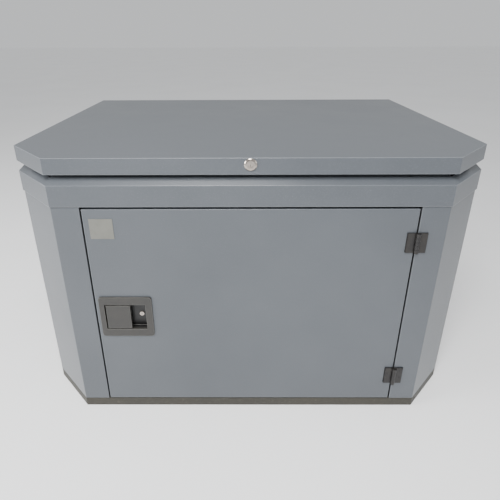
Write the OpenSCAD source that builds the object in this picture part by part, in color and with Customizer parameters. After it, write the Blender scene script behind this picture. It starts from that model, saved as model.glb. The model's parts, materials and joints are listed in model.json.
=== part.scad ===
// Home standby generator set in a weatherproof acoustic enclosure.
// Millimetres. Origin on the ground at the middle of the footprint, front towards -Y, +Z up.

/* [Enclosure] */
// Width of the lid, side to side
body_w = 1200; // [1000:10:1440]
// Depth of the lid, front to back
body_d = 870; // [800:10:1050]
// Height from the ground to the top of the lid
body_h = 760; // [720:5:900]
// Leg of the 45 degree cut at each front corner
corner = 120; // [80:5:150]
// Thickness of the folded sheet steel
sheet = 2; // [1.5:0.5:3]
// How far the body walls stand back from the lid's outline
body_inset = 3; // [2:0.5:6]
// Height of the plinth under the floor pan
plinth_h = 25; // [20:1:50]
// Width of a plinth rail
rail_w = 40; // [30:1:60]
// Thickness of the floor pan
pan_t = 3; // [2:0.5:5]

/* [Lid and collar] */
// Height of the folded lid rim
lid_rim = 40; // [36:1:55]
// Shadow gap between the lid rim and the collar's shoulder
shadow_gap = 11; // [7:0.5:14]
// Height and depth of the collar's 45 degree shoulder
shoulder = 16; // [12:1:18]
// Depth of the rain gutter behind the shoulder
gutter = 12; // [8:1:16]
// Height of the collar's upright face
collar_face = 54; // [40:1:70]
// How far the neck inside the lid stands back from the outline
neck_inset = 24; // [23:0.5:30]
// Height of the rubber seal on the neck
lid_seal_h = 10; // [6:1:14]
// Thickness of the sound-absorbing foam
foam_t = 25; // [15:1:30]
// How far the lid opens, in degrees
lid_open = 55; // [45:1:60]

/* [Door] */
// Half of the door opening's width
opening_half = 411; // [340:1:440]
// Gap between the door and its opening
door_gap = 4.5; // [2:0.5:6]
// Gap between the door's top edge and the collar
door_top_gap = 7; // [3:0.5:10]
// Depth of the door's folded edges
door_depth = 32; // [28:1:40]
// Thickness of the door seal
door_seal_t = 3; // [2:0.5:5]
// Height of a door hinge
hinge_h = 54; // [40:1:70]
// Width of one hinge leaf from the pin's axis
hinge_leaf = 26; // [20:1:36]
// Height of the upper hinge's middle above the ground
upper_hinge_z = 542; // [450:1:570]
// Height of the lower hinge's middle above the ground
lower_hinge_z = 117.5; // [90:0.5:180]
// Radius of a hinge knuckle
knuckle_r = 6; // [5:0.5:8]
// Radius of a hinge pin
pin_r = 3; // [2:0.5:4]
// Radial running clearance of every pin, shaft and plug
run_fit = 0.05; // [0.02:0.01:0.1]

/* [Latch and locks] */
// Width of the latch flange
latch_w = 140; // [120:1:160]
// Height of the latch flange
latch_h = 124; // [110:1:140]
// Width of the finger recess
recess_w = 109; // [90:1:115]
// Height of the finger recess
recess_h = 78; // [60:1:90]
// Depth of the finger recess behind the door face
recess_depth = 14; // [12:0.5:18]
// Width of the pull paddle
paddle_w = 64; // [50:1:70]
// Distance from the door's free edge to the latch flange
latch_edge = 9; // [8:0.5:20]
// Height of the latch's middle above the ground
latch_z = 321; // [250:1:420]
// Radius of a lock plug
plug_r = 6; // [5:0.5:7]

/* [Generator set] */
// Height of the crankshaft's axis above the ground
crank_z = 215; // [200:1:240]
// Distance of the crankshaft's axis behind the middle
crank_y = 60; // [30:1:90]
// Radius of the crankshaft
shaft_r = 15; // [12:0.5:18]
// Radius of the alternator's housing
alternator_r = 114; // [100:1:116]
// Radius of the cooling fan
fan_r = 122; // [100:1:126]
// Radius of the muffler's drum
muffler_r = 62; // [50:1:66]
// Outer radius of the exhaust tail pipe
tail_r = 18; // [14:0.5:24]
// Outer radius of the gas inlet pipe
gas_r = 10.5; // [8:0.5:14]
// Radius of the cable gland's bore
gland_r = 10; // [6:0.5:14]
// Radius of an anchor hole in the floor pan
anchor_r = 6.5; // [5:0.5:9]
// Distance between anchor holes, side to side
anchor_x = 960; // [860:10:1000]
// Distance between anchor holes, front to back
anchor_y = 620; // [560:10:680]

/* [Hidden] */
$fn = 48;
eps = 0.01;

// Colours
paint = "#7f858a";
plinth_paint = "#58554a";
zinc = "#8d8f92";
latch_grey = "#5f5d59";
foam_grey = "#3a3b3d";
rubber_black = "#1c1c1c";
cast_alloy = "#a9abad";
engine_black = "#26282a";

// Levels and faces of the enclosure
half_w = body_w / 2;
half_d = body_d / 2;
pan_z = plinth_h;
floor_z = pan_z + pan_t;
rim_z = body_h - lid_rim;
ledge_z = rim_z - shadow_gap;
face_top_z = ledge_z - shoulder;
gutter_z = ledge_z - gutter;
collar_z = face_top_z - collar_face;
lid_under_z = body_h - sheet;
neck_top_z = lid_under_z - lid_seal_h;
wall_h = collar_z - floor_z;
front_y = -half_d + body_inset;
back_y = half_d - body_inset;
side_x = half_w - body_inset;
inner_back_y = back_y - sheet;
inner_side_x = side_x - sheet;
post_end_y = -half_d + corner + 35;
foam_gap = 0.3;

// Door, its stop and its seal
door_half = opening_half - door_gap;
door_bottom_z = floor_z + 2;
door_top_z = collar_z - door_top_gap;
door_back_y = front_y + door_depth;
stop_y = door_back_y + door_seal_t;
stop_lip = 22;
hinge_y = front_y - knuckle_r - 0.4;
hinge_x = opening_half - 1;
leaf_t = 4;
knuckles = 5;
knuckle_gap = 0.4;

// Lid hinge and stay
lid_hinge_y = half_d + knuckle_r + 0.4;
lid_hinge_z = rim_z - 6;
lid_hinge_w = 70;
lid_hinge_x = half_w * 0.63;
stay_x = half_w - 52;
stay_r = 4;
stay_back = 440;
stay_pivot_y = lid_hinge_y - stay_back;
stay_pivot_z = lid_under_z - 10;
stay_up = stay_pivot_z - lid_hinge_z;
stay_open_y = lid_hinge_y - stay_back * cos(lid_open) + stay_up * sin(lid_open);
stay_open_z = lid_hinge_z + stay_back * sin(lid_open) + stay_up * cos(lid_open);
notch_z = rim_z + 14;
stay_length = stay_open_z - notch_z;
stay_tip = 20;
stay_bend = 8;

// Latch and lid lock
latch_x = -door_half + latch_edge + latch_w / 2;
recess_x = latch_x - 2;
recess_floor_y = front_y + recess_depth;
flange_t = 4.5;
paddle_h = recess_h - 6;
pivot_x = recess_x - recess_w / 2 + 7;
pivot_y = front_y + 2;
lug_length = 21;
bolt_h = 16;
bolt_front_y = recess_floor_y + sheet + 2;
bolt_t = 10;
bolt_end_x = -opening_half + 1;
key_x = recess_x + recess_w / 2 - 15;
lid_lock_z = body_h - 16;
lock_barrel_r = 9;
cam_y = -half_d + 15;

// Generator set
mount_h = 30;
rail_h = 40;
deck_z = floor_z + mount_h + rail_h;
rail_gap = 105;
case_half = 90;
case_w = 200;
case_top_z = crank_z + 95;
head_z = case_top_z + 110;
head_half = 65;
head_h = 40;
alternator_end_x = -290;
muffler_y = crank_y + head_half + 70;
muffler_z = head_z + 20;
muffler_end_x = -310;
tail_x = -240;
boss_y = muffler_y + muffler_r + 8;
tail_end_y = half_d + 55;
pipe_gap = 4;
foam_pipe_gap = 10;
gas_x = 330;
gas_z = 180;
gas_end_y = half_d + 45;
regulator_y = inner_back_y - 80;
gland_x = 430;
gland_z = 110;
gland_length = 40;
cleaner_y = crank_y - head_half - 50;

// Service side, just behind the door
panel_y = -300;
panel_x = 270;
panel_z = 450;
panel_w = 240;
panel_h = 240;
panel_t = 3;
knob_x = panel_x - 70;
breaker_x = panel_x + 60;
control_z = panel_z - 50;
stop_z = panel_z + 50;
battery_x = -290;
battery_y = -285;
battery_w = 200;
battery_d = 130;
battery_h = 175;

// Louvres
louvre_w = 320;
louvre_h = 220;
louvre_y = 110;
louvre_z = 200;
louvre_depth = 12;

// ---------- shared shapes ----------

// The enclosure's outline, a rectangle with its two front corners cut, moved inwards
function outline_points(inset) =
    let (a = half_w - inset, b = half_d - inset, c = corner - inset * (2 - sqrt(2)))
    [[-a, b], [a, b], [a, -b + c], [a - c, -b], [-a + c, -b], [-a, -b + c]];

module outline(inset) {
    polygon(outline_points(inset));
}

// An upright wall that follows the outline
module ring(inset, wall, z, height) {
    translate([0, 0, z])
        linear_extrude(height)
            difference() {
                outline(inset);
                outline(inset + wall);
            }
}

// A box given by its lowest corner and its highest corner
module span(low, high) {
    translate(low)
        cube(high - low);
}

// A cylinder along Y from one depth to another
module rod_y(x, z, y1, y2, r) {
    translate([x, y1, z])
        rotate([-90, 0, 0])
            cylinder(h = y2 - y1, r = r);
}

// A cylinder along X from one place to another
module rod_x(x1, x2, y, z, r) {
    translate([x1, y, z])
        rotate([0, 90, 0])
            cylinder(h = x2 - x1, r = r);
}

// An upright plate with round corners, its middle at x and z, from y1 to y2
module rounded_plate(x, z, w, h, r, y1, y2) {
    translate([x, y2, z])
        rotate([90, 0, 0])
            linear_extrude(y2 - y1) {
                square([w - 2 * r, h], center = true);
                square([w, h - 2 * r], center = true);
                for (i = [-1, 1], j = [-1, 1])
                    translate([i * (w / 2 - r), j * (h / 2 - r)])
                        circle(r);
            }
}

// Mirrored copies on the left and the right
module both_sides() {
    children();
    mirror([1, 0, 0])
        children();
}

// A point on a smooth curve through four given points
function curve_point(a, b, c, d, t) =
    0.5 * (2 * b + (c - a) * t + (2 * a - 5 * b + 4 * c - d) * t * t
        + (3 * b - a - 3 * c + d) * t * t * t);

function curve(p, steps) = [
    for (i = [0 : len(p) - 2], k = [0 : steps - 1])
        curve_point(p[max(i - 1, 0)], p[i], p[i + 1], p[min(i + 2, len(p) - 1)], k / steps),
    p[len(p) - 1]
];

function unit(v) = v / norm(v);

// A round tube swept along a curve; side is a direction that the curve never follows
module sweep(route, r, side, sides = 12, steps = 8) {
    path = curve(route, steps);
    last = len(path) - 1;
    end = len(route) - 1;
    points = [
        for (i = [0 : last])
            let (along = i == 0 ? unit(route[1] - route[0])
                    : i == last ? unit(route[end] - route[end - 1])
                    : unit(path[i + 1] - path[i - 1]),
                u = unit(cross(along, side)),
                v = cross(along, u))
            for (k = [0 : sides - 1])
                path[i] + r * (cos(360 * k / sides) * u + sin(360 * k / sides) * v)
    ];
    walls = [
        for (i = [0 : last - 1], k = [0 : sides - 1])
            [i * sides + k, i * sides + (k + 1) % sides,
                (i + 1) * sides + (k + 1) % sides, (i + 1) * sides + k]
    ];
    start_cap = [for (k = [0 : sides - 1]) sides - 1 - k];
    end_cap = [for (k = [0 : sides - 1]) last * sides + k];
    polyhedron(points, concat(walls, [start_cap, end_cap]), convexity = 6);
}

// ---------- enclosure ----------

// Base ring with a cross rail that carries the set and marks the origin
module plinth() color(plinth_paint) {
    ring(body_inset, rail_w, 0, plinth_h);
    span([-rail_w, -inner_back_y + rail_w - 2, 0], [rail_w, back_y - rail_w + eps, plinth_h]);
}

module base_pan() color(plinth_paint) {
    difference() {
        translate([0, 0, pan_z])
            linear_extrude(pan_t)
                outline(body_inset);
        for (i = [-1, 1], j = [-1, 1])
            translate([i * anchor_x / 2, j * anchor_y / 2, pan_z - 1])
                cylinder(h = pan_t + 2, r = anchor_r);
    }
    span([-opening_half + stop_lip, stop_y, floor_z - eps],
        [opening_half - stop_lip, stop_y + sheet, floor_z + stop_lip]);
}

// One front post: the cut corner, the strip beside the door and the door's stop
module right_post_shape() {
    translate([0, 0, floor_z])
        linear_extrude(wall_h) {
            intersection() {
                difference() {
                    outline(body_inset);
                    outline(body_inset + sheet);
                }
                translate([opening_half, -half_d])
                    square([half_w - opening_half, half_d + post_end_y]);
            }
            translate([opening_half, front_y])
                square([sheet, door_depth + door_seal_t + sheet]);
            translate([opening_half - stop_lip, stop_y])
                square([stop_lip + sheet, sheet]);
        }
}

module left_corner_post() color(paint)
    mirror([1, 0, 0])
        right_post_shape();

module right_corner_post() color(paint)
    right_post_shape();

// A side wall with its louvre window; side is 1 on the right and -1 on the left
module side_panel(side) {
    difference() {
        span([min(side * inner_side_x, side * side_x), post_end_y, floor_z],
            [max(side * inner_side_x, side * side_x), back_y, collar_z]);
        translate([side * side_x, louvre_y, louvre_z])
            cube([4 * sheet + 4, louvre_w, louvre_h], center = true);
    }
}

module left_side_panel() color(paint)
    side_panel(-1);

module right_side_panel() color(paint)
    side_panel(1);

module back_panel() color(paint)
    difference() {
        span([-inner_side_x, inner_back_y, floor_z], [inner_side_x, back_y, collar_z]);
        rod_y(tail_x, muffler_z, inner_back_y - 1, back_y + 1, tail_r + pipe_gap);
        rod_y(gas_x, gas_z, inner_back_y - 1, back_y + 1, gas_r + 0.5);
        rod_y(gland_x, gland_z, inner_back_y - 1, back_y + 1, gland_r + 3);
    }

// The ring under the lid: flange, upright face, 45 degree shoulder and neck
module collar() color(paint) {
    difference() {
        union() {
            ring(0, 28, collar_z, sheet);
            span([-opening_half, -half_d + 20, collar_z], [opening_half, stop_y + sheet, collar_z + sheet]);
            ring(0, sheet, collar_z, collar_face);
            ring(neck_inset, sheet, gutter_z, neck_top_z - gutter_z);
            ring(shoulder, neck_inset - shoulder + sheet, gutter_z, sheet);
            ring(shoulder, sheet, gutter_z, gutter);
            difference() {
                hull() {
                    translate([0, 0, face_top_z])
                        linear_extrude(eps)
                            outline(0);
                    translate([0, 0, ledge_z - eps])
                        linear_extrude(eps)
                            outline(shoulder);
                }
                hull() {
                    translate([0, 0, face_top_z - 1])
                        linear_extrude(eps)
                            outline(sheet - 1);
                    translate([0, 0, ledge_z + 1])
                        linear_extrude(eps)
                            outline(shoulder + sheet + 1);
                }
            }
        }
    }
    // stop above the door
    span([-opening_half + stop_lip, stop_y, collar_z - stop_lip],
        [opening_half - stop_lip, stop_y + sheet, collar_z + eps]);
    // catch that the lid lock's cam turns under
    catch_y = -half_d + neck_inset - 3.5;
    span([16, catch_y, rim_z + 4], [32, catch_y + 3.6, neck_top_z - 2]);
    span([16, catch_y, rim_z + 4], [32, catch_y + 2, lid_lock_z + 10]);
    span([16, cam_y - 0.5, lid_lock_z + 8], [32, catch_y + 2, lid_lock_z + 10]);
    // notch that holds the tip of the lid stay
    difference() {
        span([stay_x + 8, stay_open_y - 12, notch_z - 12],
            [half_w - neck_inset - sheet + eps, stay_open_y + 12, notch_z + 8]);
        rod_x(stay_x, half_w, stay_open_y, notch_z, stay_r + 0.5);
        span([stay_x, stay_open_y - stay_r - 0.5, notch_z],
            [half_w - neck_inset - sheet, stay_open_y + stay_r + 0.5, notch_z + 9]);
    }
}

module lid_seal() color(rubber_black)
    ring(neck_inset - 1, sheet + 4, neck_top_z, lid_seal_h);

module door_seal() color(rubber_black)
    difference() {
        span([-door_half, door_back_y, door_bottom_z], [door_half, stop_y, door_top_z]);
        span([-door_half + 14, door_back_y - 1, door_bottom_z + 14],
            [door_half - 14, stop_y + 1, door_top_z - 14]);
    }

// Foam lining on both sides and the back, cut away round the louvres and the outlets
module wall_foam() color(foam_grey) {
    both_sides()
        difference() {
            span([inner_side_x - foam_t, post_end_y + 2, floor_z + 2],
                [inner_side_x - foam_gap, inner_back_y - foam_t - 2, collar_z - 2]);
            translate([inner_side_x, louvre_y, louvre_z])
                cube([4 * foam_t, louvre_w + 50, louvre_h + 50], center = true);
        }
    difference() {
        span([-inner_side_x + foam_t + 2, inner_back_y - foam_t, floor_z + 2],
            [inner_side_x - foam_t - 2, inner_back_y - foam_gap, collar_z - 2]);
        rod_y(tail_x, muffler_z, inner_back_y - 2 * foam_t, back_y, tail_r + foam_pipe_gap);
        span([gas_x - 70, inner_back_y - 2 * foam_t, floor_z],
            [gland_x + 40, back_y, gas_z + 70]);
    }
}

// A grille that fills a side window from inside, with sloping slats
module louvre(side) {
    frame = 20;
    pitch = 20;
    low_x = inner_side_x - louvre_depth;
    mirror([side < 0 ? 1 : 0, 0, 0]) {
        difference() {
            span([low_x, louvre_y - louvre_w / 2 - frame, louvre_z - louvre_h / 2 - frame],
                [inner_side_x, louvre_y + louvre_w / 2 + frame, louvre_z + louvre_h / 2 + frame]);
            span([low_x - 1, louvre_y - louvre_w / 2, louvre_z - louvre_h / 2],
                [inner_side_x + 1, louvre_y + louvre_w / 2, louvre_z + louvre_h / 2]);
        }
        for (z = [louvre_z - louvre_h / 2 + pitch / 2 : pitch : louvre_z + louvre_h / 2])
            translate([low_x + louvre_depth / 2, louvre_y, z])
                rotate([0, 35, 0])
                    cube([louvre_depth + 1, louvre_w + 2, 1.5], center = true);
    }
}

module inlet_louvre() color(paint)
    louvre(1);

module outlet_louvre() color(paint)
    louvre(-1);

// Domed screw heads on the back and side panels
module screw_head() {
    cylinder(h = 1.2, r = 6);
    translate([0, 0, 1.2])
        cylinder(h = 1.6, r1 = 5.6, r2 = 3.6, $fn = 32);
}

module panel_screws() color(zinc) {
    for (x = [-0.9, -0.45, 0, 0.45, 0.9], z = [floor_z + 20, collar_z - 20])
        translate([x * side_x, back_y, z])
            rotate([-90, 0, 0])
                screw_head();
    for (side = [-1, 1], y = [post_end_y + 15, back_y - 20], z = [floor_z + 20, collar_z - 20])
        translate([side * side_x, y, z])
            rotate([0, side * 90, 0])
                screw_head();
}

// ---------- hinges ----------

// A leaf in the plane y = 0 with its knuckles on the Z axis; the leaf runs towards +X.
// parity chooses which knuckles it has, reach is the leaf's width
module hinge_leaf(height, reach, parity, plate_y) {
    pitch = height / knuckles;
    difference() {
        union() {
            linear_extrude(height)
                polygon([[0, plate_y], [reach, plate_y], [reach - 1.5, plate_y - leaf_t],
                    [0, plate_y - leaf_t]]);
            cylinder(h = height, r = knuckle_r);
        }
        for (i = [0 : knuckles - 1])
            if (i % 2 != parity)
                translate([0, 0, i * pitch - knuckle_gap / 2 - (i == 0 ? 1 : 0)])
                    cylinder(h = pitch + knuckle_gap + (i == knuckles - 1 ? 1 : 0) + (i == 0 ? 1 : 0),
                        r = knuckle_r + knuckle_gap);
        translate([0, 0, -1])
            cylinder(h = height + 2, r = pin_r + run_fit);
    }
}

module door_hinge_body_leaves() color(zinc)
    for (z = [upper_hinge_z, lower_hinge_z])
        translate([hinge_x, hinge_y, z - hinge_h / 2])
            hinge_leaf(hinge_h, hinge_leaf, 0, front_y - hinge_y);

module door_hinge_door_leaves() color(zinc)
    for (z = [upper_hinge_z, lower_hinge_z])
        translate([hinge_x, hinge_y, z - hinge_h / 2])
            mirror([1, 0, 0])
                hinge_leaf(hinge_h, hinge_leaf, 1, front_y - hinge_y);

// Turns a hinge so that its pin lies along X on the rear face and its leaf points up or down
module on_lid_hinge(side, up) {
    translate([side * lid_hinge_x + (up ? 1 : -1) * lid_hinge_w / 2, lid_hinge_y, lid_hinge_z])
        rotate([0, up ? -90 : 90, 0])
            mirror([0, 1, 0])
                children();
}

module lid_hinge_body_leaves() color(zinc)
    for (side = [-1, 1])
        on_lid_hinge(side, false)
            hinge_leaf(lid_hinge_w, 48, 0, lid_hinge_y - half_d);

module lid_hinge_lid_leaves() color(zinc)
    for (side = [-1, 1])
        on_lid_hinge(side, true)
            hinge_leaf(lid_hinge_w, 32, 1, lid_hinge_y - half_d);

module hinge_pins() color(zinc) {
    for (z = [upper_hinge_z, lower_hinge_z])
        translate([hinge_x, hinge_y, z - hinge_h / 2])
            cylinder(h = hinge_h, r = pin_r);
    for (side = [-1, 1])
        rod_x(side * lid_hinge_x - lid_hinge_w / 2, side * lid_hinge_x + lid_hinge_w / 2,
            lid_hinge_y, lid_hinge_z, pin_r);
}

// ---------- lid ----------

module lid_shell() color(paint) {
    difference() {
        translate([0, 0, rim_z])
            linear_extrude(lid_rim)
                outline(0);
        translate([0, 0, rim_z - 1])
            linear_extrude(lid_rim - sheet + 1)
                outline(sheet);
        rod_y(0, lid_lock_z, -half_d - 1, -half_d + sheet + 1, lock_barrel_r + 0.1);
    }
    // ear and stud that the stay swings on
    span([stay_x - 16, stay_pivot_y - 10, stay_pivot_z - 8],
        [stay_x - 11, stay_pivot_y + 10, lid_under_z + eps]);
    rod_x(stay_x - 12, stay_x + stay_r + 2, stay_pivot_y, stay_pivot_z, pin_r);
    // clip that stores the stay
    difference() {
        span([stay_x - 8, stay_pivot_y + 290, stay_pivot_z - 5],
            [stay_x + 8, stay_pivot_y + 304, lid_under_z + eps]);
        span([stay_x - stay_r - 0.5, stay_pivot_y + 289, stay_pivot_z - 6],
            [stay_x + stay_r + 0.5, stay_pivot_y + 305, stay_pivot_z + stay_r + 1]);
    }
}

module lid_foam() color(foam_grey)
    translate([0, 0, lid_under_z - foam_t])
        linear_extrude(foam_t - foam_gap)
            outline(78);

module lid_lock_bezel() color("silver")
    difference() {
        union() {
            translate([0, -half_d, lid_lock_z])
                rotate([90, 0, 0])
                    rotate_extrude()
                        polygon([[0, 0], [15, 0], [15, 1.5], [13, 3.2], [10, 4], [0, 4]]);
            rod_y(0, lid_lock_z, -half_d - eps, cam_y - 0.3, lock_barrel_r);
        }
        rod_y(0, lid_lock_z, -half_d - 6, cam_y + 1, plug_r + run_fit);
    }

// The key plug with its cam; the cam hangs down when the lid is free to open
module lid_lock_plug() color("silver") {
    difference() {
        rod_y(0, lid_lock_z, -half_d - 3.2, cam_y + 3, plug_r);
        span([-0.7, -half_d - 4, lid_lock_z - 3.5], [0.7, -half_d + 2, lid_lock_z + 3.5]);
    }
    span([-7, cam_y, lid_lock_z - 21], [7, cam_y + 3, lid_lock_z + 6.5]);
}

// Prop rod with an eye at one end and a bent tip at the other
module lid_stay_rod() color(zinc)
    difference() {
        union() {
            rod_x(stay_x - stay_r, stay_x + stay_r, stay_pivot_y, stay_pivot_z, 7);
            rod_y(stay_x, stay_pivot_z, stay_pivot_y + 5, stay_pivot_y + stay_length - stay_bend,
                stay_r);
            translate([stay_x + stay_bend, stay_pivot_y + stay_length - stay_bend, stay_pivot_z])
                rotate([0, 0, 90])
                    rotate_extrude(angle = 90)
                        translate([stay_bend, 0])
                            circle(stay_r);
            rod_x(stay_x + stay_bend, stay_x + stay_tip, stay_pivot_y + stay_length, stay_pivot_z,
                stay_r);
        }
        rod_x(stay_x - 10, stay_x + 10, stay_pivot_y, stay_pivot_z, pin_r + run_fit);
    }

// ---------- door ----------

module door_skin() color(paint)
    difference() {
        span([-door_half, front_y, door_bottom_z], [door_half, door_back_y, door_top_z]);
        span([-door_half + sheet, front_y + sheet, door_bottom_z + sheet],
            [door_half - sheet, door_back_y + 1, door_top_z - sheet]);
        span([recess_x - recess_w / 2 - sheet - 0.5, front_y - 1, latch_z - recess_h / 2 - sheet - 0.5],
            [recess_x + recess_w / 2 + sheet + 0.5, front_y + sheet + 1,
                latch_z + recess_h / 2 + sheet + 0.5]);
        span([-door_half - 1, bolt_front_y - 1, latch_z - bolt_h / 2 - 1],
            [-door_half + sheet + 1, bolt_front_y + bolt_t + 1, latch_z + bolt_h / 2 + 1]);
    }

module door_foam() color(foam_grey)
    difference() {
        span([-door_half + 16, front_y + sheet + foam_gap, door_bottom_z + 16],
            [door_half - 16, front_y + sheet + foam_t, door_top_z - 16]);
        span([-door_half, front_y, latch_z - latch_h / 2 - 6],
            [latch_x + latch_w / 2 + 6, stop_y, latch_z + latch_h / 2 + 6]);
    }

// Flange, finger recess, bolt guide and the boss of the key plug
module latch_housing() color(latch_grey)
    difference() {
        union() {
            rounded_plate(latch_x, latch_z, latch_w, latch_h, 8, front_y - flange_t, front_y);
            span([recess_x - recess_w / 2 - sheet, front_y - 1, latch_z - recess_h / 2 - sheet],
                [recess_x + recess_w / 2 + sheet, recess_floor_y + sheet,
                    latch_z + recess_h / 2 + sheet]);
            rod_y(key_x, latch_z, recess_floor_y, recess_floor_y + 6, plug_r + 5);
            difference() {
                span([pivot_x + 8, recess_floor_y, latch_z - bolt_h / 2 - 4],
                    [pivot_x + 34, bolt_front_y + bolt_t + 3, latch_z + bolt_h / 2 + 4]);
                span([pivot_x + 7, recess_floor_y + sheet, latch_z - bolt_h / 2 - 0.4],
                    [pivot_x + 35, bolt_front_y + bolt_t + 0.4, latch_z + bolt_h / 2 + 0.4]);
            }
        }
        span([recess_x - recess_w / 2, front_y - 9, latch_z - recess_h / 2],
            [recess_x + recess_w / 2, recess_floor_y, latch_z + recess_h / 2]);
        translate([pivot_x, pivot_y, latch_z - recess_h / 2 - sheet - 1])
            cylinder(h = recess_h + 2 * sheet + 2, r = pin_r - 0.5 + run_fit);
        span([pivot_x - 4, recess_floor_y - 1, latch_z - 6],
            [pivot_x + 13, recess_floor_y + sheet + 1, latch_z + 6]);
        rod_y(key_x, latch_z, recess_floor_y - 3, recess_floor_y + 8, plug_r + run_fit);
    }

// The pull paddle with its pivot, finger lip and the lug that draws the bolt
module latch_paddle() color("#6a6863") {
    left = pivot_x - 3;
    right = left + paddle_w;
    span([left, front_y - flange_t, latch_z - paddle_h / 2], [right, front_y + 1, latch_z + paddle_h / 2]);
    span([right - 3, front_y, latch_z - paddle_h / 2], [right, front_y + 9, latch_z + paddle_h / 2]);
    translate([pivot_x, pivot_y, latch_z - paddle_h / 2])
        cylinder(h = paddle_h, r = 4);
    translate([pivot_x, pivot_y, latch_z - recess_h / 2 - sheet])
        cylinder(h = recess_h + 2 * sheet, r = pin_r - 0.5);
    span([pivot_x - 2, pivot_y, latch_z - 4], [pivot_x + 2, pivot_y + lug_length, latch_z + 4]);
}

module latch_key_plug() color("silver")
    difference() {
        union() {
            rod_y(key_x, latch_z, recess_floor_y - 3, recess_floor_y + 6.4, plug_r);
            rod_y(key_x, latch_z, recess_floor_y + 6.3, recess_floor_y + 8, plug_r + 3);
        }
        span([key_x - 0.7, recess_floor_y - 4, latch_z - 3.5],
            [key_x + 0.7, recess_floor_y + 1, latch_z + 3.5]);
    }

module latch_bolt() color(zinc)
    difference() {
        span([bolt_end_x, bolt_front_y, latch_z - bolt_h / 2],
            [pivot_x + 34, bolt_front_y + bolt_t, latch_z + bolt_h / 2]);
        span([pivot_x - 4.5, bolt_front_y - 1, latch_z - 4.6],
            [pivot_x + 4.5, pivot_y + lug_length + 1.5, latch_z + 4.6]);
    }

module nameplate() color("#9a9a92")
    span([-door_half + 14.5, front_y - 1, door_top_z - 79], [-door_half + 72.5, front_y, door_top_z - 25]);

// ---------- services through the back ----------

module cable_gland() color(rubber_black)
    difference() {
        union() {
            rod_y(gland_x, gland_z, back_y - 12, back_y + gland_length - 12, gland_r + 2.9);
            translate([gland_x, back_y, gland_z])
                rotate([-90, 0, 0])
                    cylinder(h = 10, r = gland_r + 8, $fn = 6);
            translate([gland_x, inner_back_y, gland_z])
                rotate([90, 0, 0])
                    cylinder(h = 6, r = gland_r + 8, $fn = 6);
        }
        rod_y(gland_x, gland_z, back_y - 20, back_y + gland_length, gland_r);
    }

module gas_inlet() color("#b8a050") {
    rod_y(gas_x, gas_z, regulator_y + 40, back_y + 8, gas_r - 1);
    rod_y(gas_x, gas_z, back_y + 8 - eps, gas_end_y, gas_r);
    translate([gas_x, back_y, gas_z])
        rotate([-90, 0, 0])
            cylinder(h = 8, r = gas_r + 7, $fn = 6);
    translate([gas_x, inner_back_y, gas_z])
        rotate([90, 0, 0])
            cylinder(h = 8, r = gas_r + 7, $fn = 6);
}

// Demand regulator: a round diaphragm case on a square body
module gas_regulator() color(cast_alloy) {
    rod_y(gas_x, gas_z, regulator_y, regulator_y + 14, 52);
    rod_y(gas_x, gas_z, regulator_y - 14, regulator_y + eps, 44);
    span([gas_x - 24, regulator_y + 14 - eps, gas_z - 24], [gas_x + 24, regulator_y + 40, gas_z + 24]);
    translate([gas_x, regulator_y + 26, gas_z + 24 - eps])
        cylinder(h = 20, r = 10);
}

// Gas hose from the regulator over to the mixer beside the air cleaner
hose_start = [gas_x, regulator_y + 26, gas_z + 44 + foam_gap];
hose_end = [95 + foam_gap, cleaner_y - 40, head_z + 10];
hose_route = [
    hose_start,
    hose_start + [0, 0, 50],
    [hose_start[0] - 10, hose_start[1] - 30, head_z - 20],
    [hose_start[0] - 70, hose_start[1] - 140, head_z + 30],
    hose_end + [120, 90, 15],
    hose_end + [45, 0, 0],
    hose_end
];

module gas_hose() color(rubber_black)
    sweep(hose_route, 9, [0.3, -0.9, 0.1]);

module exhaust_tailpipe() color("#7a726a")
    difference() {
        union() {
            rod_y(tail_x, muffler_z, boss_y, tail_end_y, tail_r);
            rod_y(tail_x, muffler_z, boss_y, boss_y + 5, tail_r + 12);
        }
        rod_y(tail_x, muffler_z, boss_y - 1, tail_end_y + 1, tail_r - 2);
    }

// ---------- generator set ----------

module cradle() color(engine_black) {
    for (j = [-1, 1])
        span([-280, crank_y + j * rail_gap - 20, floor_z + mount_h],
            [120, crank_y + j * rail_gap + 20, deck_z]);
    for (x = [-250, 0])
        span([x - 20, crank_y - rail_gap, floor_z + mount_h], [x + 20, crank_y + rail_gap, deck_z - 8]);
}

module av_mounts() color(rubber_black)
    for (x = [-250, 90], j = [-1, 1])
        translate([x, crank_y + j * rail_gap, floor_z])
            rotate_extrude()
                polygon([[0, 0], [24, 0], [24, 4], [16, mount_h / 2], [20, mount_h - 3],
                    [20, mount_h], [0, mount_h]]);

module crankcase() color(cast_alloy)
    difference() {
        union() {
            span([-case_half, crank_y - case_w / 2, deck_z], [case_half, crank_y + case_w / 2, case_top_z]);
            span([-case_half, crank_y - rail_gap - 18, deck_z],
                [case_half, crank_y + rail_gap + 18, deck_z + 12]);
            rod_x(-case_half - 8, case_half, crank_y, crank_z, 60);
            translate([40, crank_y - case_w / 2 + eps, deck_z + 60])
                rotate([50, 0, 0])
                    cylinder(h = 30, r = 16);
        }
        rod_x(-case_half - 10, case_half + 10, crank_y, crank_z, shaft_r + run_fit);
    }

// Finned barrel of the single cylinder
module engine_cylinder() color(cast_alloy)
    translate([0, crank_y, case_top_z]) {
        cylinder(h = head_z - case_top_z, r = 50);
        for (i = [0 : 6])
            translate([0, 0, 8 + i * 14])
                cylinder(h = 3.5, r = 78);
    }

module cylinder_head() color(cast_alloy) {
    span([-50, crank_y - head_half, head_z], [50, crank_y + head_half, head_z + head_h]);
    for (i = [0 : 3])
        span([-head_half, crank_y - head_half, head_z + 3 + i * 9],
            [head_half, crank_y + head_half, head_z + 6 + i * 9]);
    span([-42, crank_y - 52, head_z + head_h - eps], [42, crank_y + 52, head_z + head_h + 38]);
}

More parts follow.
